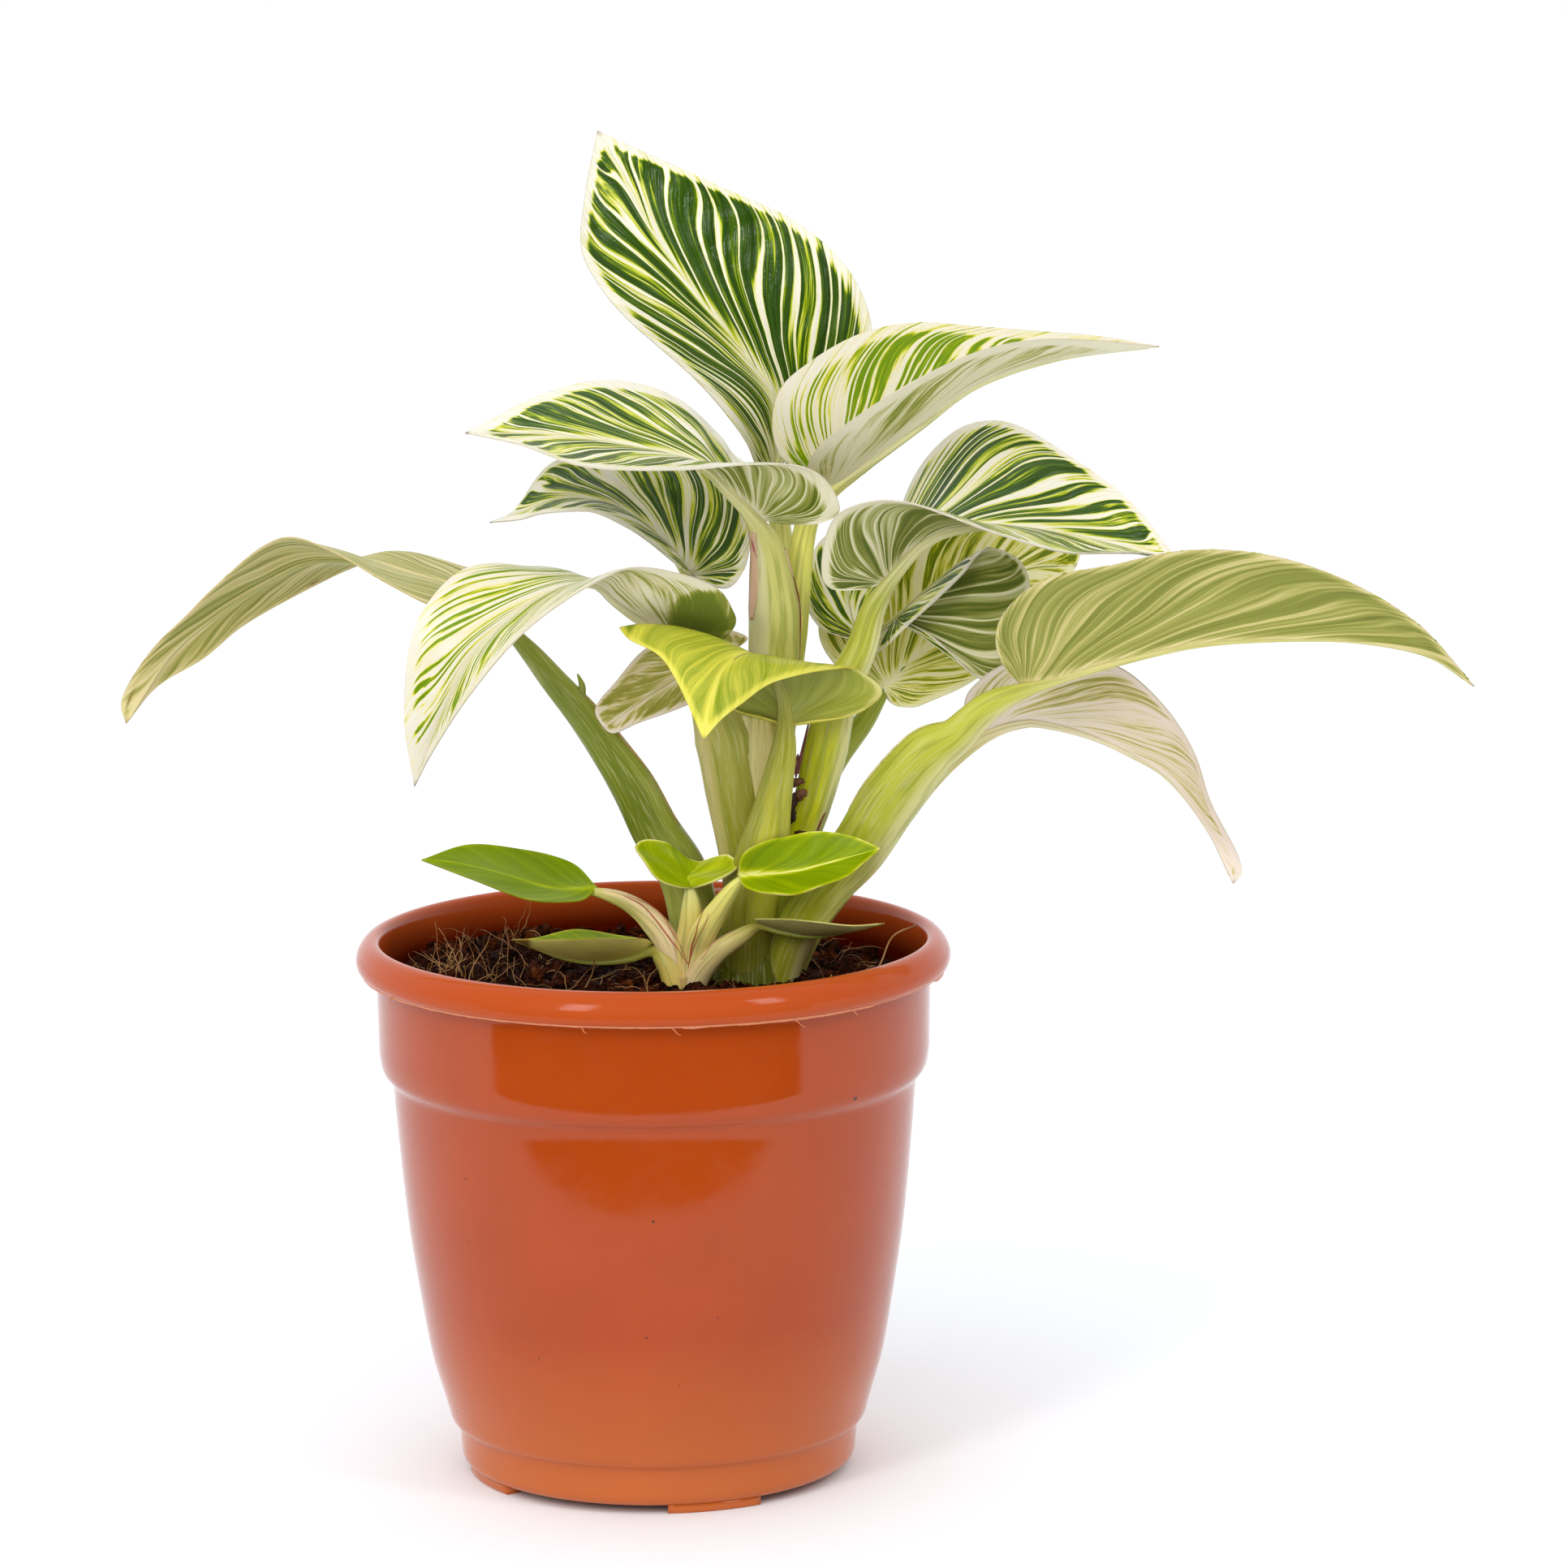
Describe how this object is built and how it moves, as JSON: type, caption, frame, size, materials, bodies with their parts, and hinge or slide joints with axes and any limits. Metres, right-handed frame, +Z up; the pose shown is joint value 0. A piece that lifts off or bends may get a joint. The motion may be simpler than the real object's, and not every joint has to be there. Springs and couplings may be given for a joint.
{
  "type": "potted philodendron plant",
  "caption": "Young birkin philodendron with arching variegated leaves on pale stalks and small side shoots, growing in a round terracotta-coloured plastic nursery pot.",
  "frame": {"origin": "middle of the underside of the whole plant's bounding box, at the level of the pot's feet; the pot's axis stands 34 mm from it towards -X", "axes": "+Z up along the pot's axis, the pictured side faces -Y, +X is to the right as pictured"},
  "size_m": [0.3144, 0.14, 0.3141],
  "materials": {
    "terracotta_plastic": "glossy moulded polypropylene",
    "potting_mix": "moist crumbled peat, bark and coir",
    "stem_green": "smooth satin plant skin, pale lime",
    "pup_stem": "smooth satin plant skin, cream to lime",
    "leaf_variegated": "glossy leathery blade, dark green striped white",
    "leaf_white_lime": "glossy leathery blade, white streaked lime",
    "leaf_sage": "satin leaf underside, sage striped pale",
    "leaf_yellow_lime": "glossy young blade, yellow lime",
    "leaf_fresh_lime": "glossy young blade, bright green",
    "dry_husk": "dry brown papery sheath"
  },
  "bodies": {
    "root": {"pot": "terracotta_plastic", "potting_soil": "potting_mix", "main_stems": "stem_green", "pup_stems": "pup_stem", "dry_sheath": "dry_husk", "leaf_top_upright": "leaf_variegated", "leaf_top_right": "leaf_white_lime", "leaf_upper_left": "leaf_variegated", "leaf_upper_left_rear": "leaf_variegated", "leaf_far_left": "leaf_sage", "leaf_mid_left": "leaf_white_lime", "leaf_front_lime": "leaf_yellow_lime", "leaf_inner_left": "leaf_white_lime", "leaf_upper_right": "leaf_variegated", "leaf_inner_right": "leaf_variegated", "leaf_mid_right": "leaf_sage", "leaf_rear_right": "leaf_white_lime", "leaf_far_right": "leaf_sage", "leaf_low_right": "leaf_white_lime", "pup_leaf_left": "leaf_fresh_lime", "pup_leaf_middle": "leaf_fresh_lime", "pup_leaf_right": "leaf_fresh_lime", "pup_leaf_low_left": "leaf_fresh_lime", "pup_leaf_low_right": "leaf_fresh_lime"}
  },
  "joints": []
}
